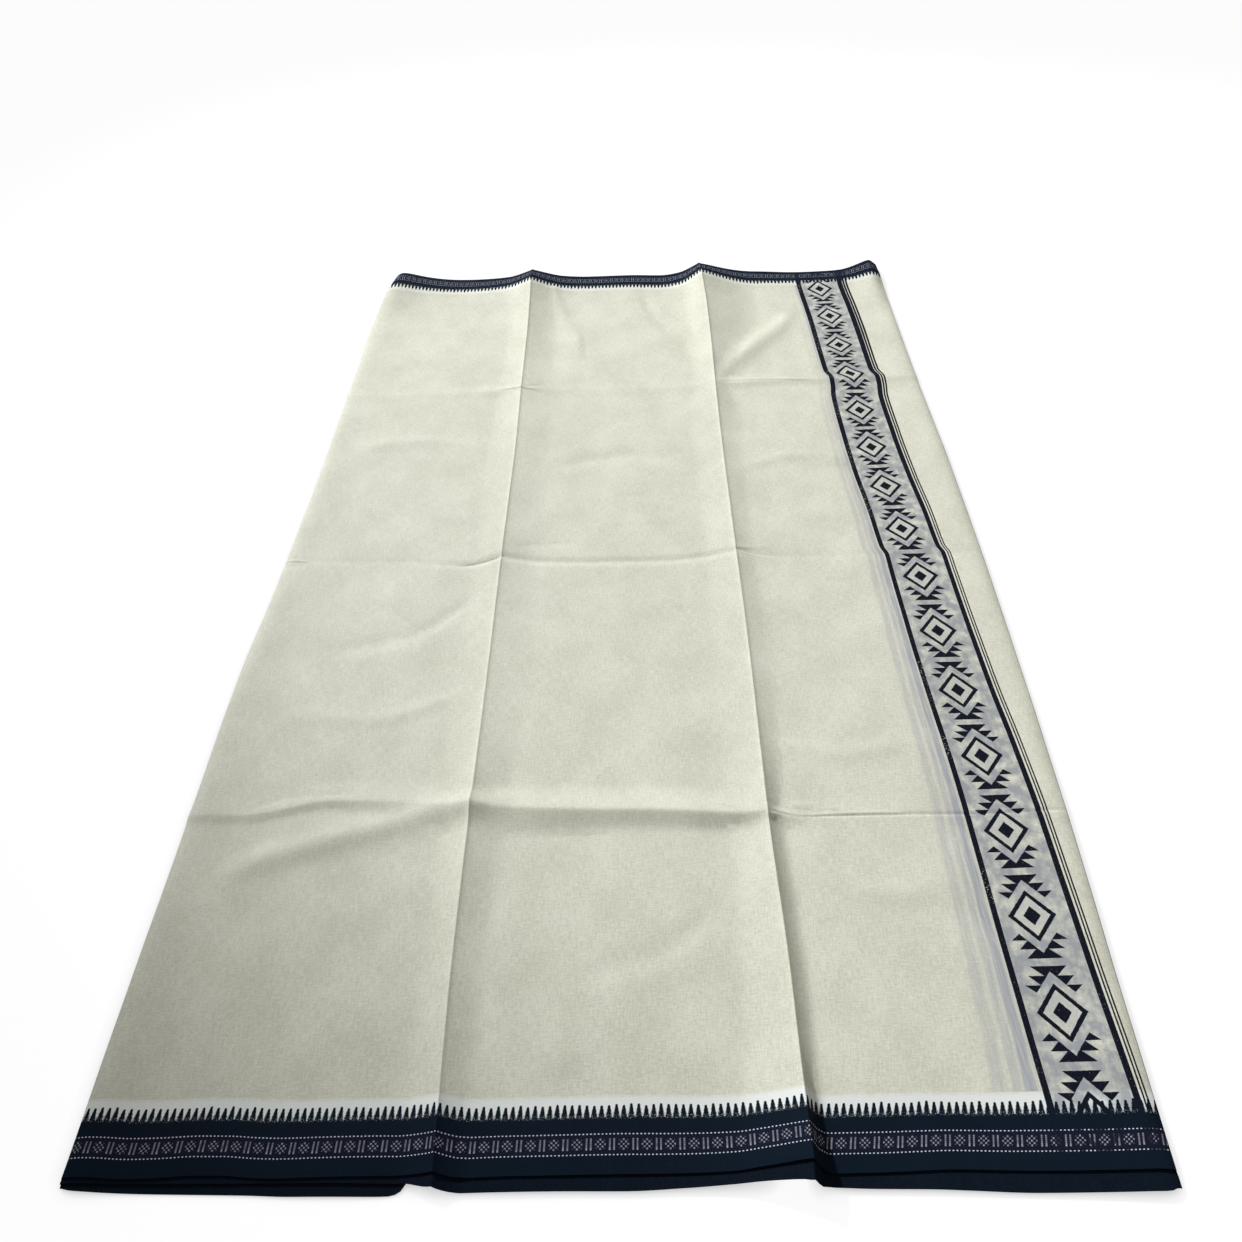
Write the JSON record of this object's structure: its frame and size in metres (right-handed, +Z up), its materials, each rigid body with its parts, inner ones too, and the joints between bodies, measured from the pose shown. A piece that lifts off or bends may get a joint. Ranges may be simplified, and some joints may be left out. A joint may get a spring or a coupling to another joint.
{
  "type": "folded dhoti cloth",
  "caption": "Natural cotton dhoti folded lengthwise into a long flat bundle, with black woven temple borders on both selvedges and a printed diamond band along one side.",
  "frame": {"origin": "middle of the underside of the folded bundle's bounding box", "axes": "+X across the bundle towards the printed band, +Y along it from the near selvedge to the far one, +Z up from the surface it lies on"},
  "size_m": [0.7, 1.283, 0.0229],
  "materials": {
    "ground_cotton": "plain weave natural cotton, matt, with a printed diamond band along one side",
    "border_cotton": "ribbed black warp stripe with woven temple spikes, dotted lines and rosettes",
    "hidden_cotton": "the same cloth underneath, black at its selvedges"
  },
  "bodies": {
    "root": {"ground_panel": "ground_cotton", "near_border": "border_cotton", "far_border": "border_cotton", "hidden_layers": "hidden_cotton"}
  },
  "joints": []
}
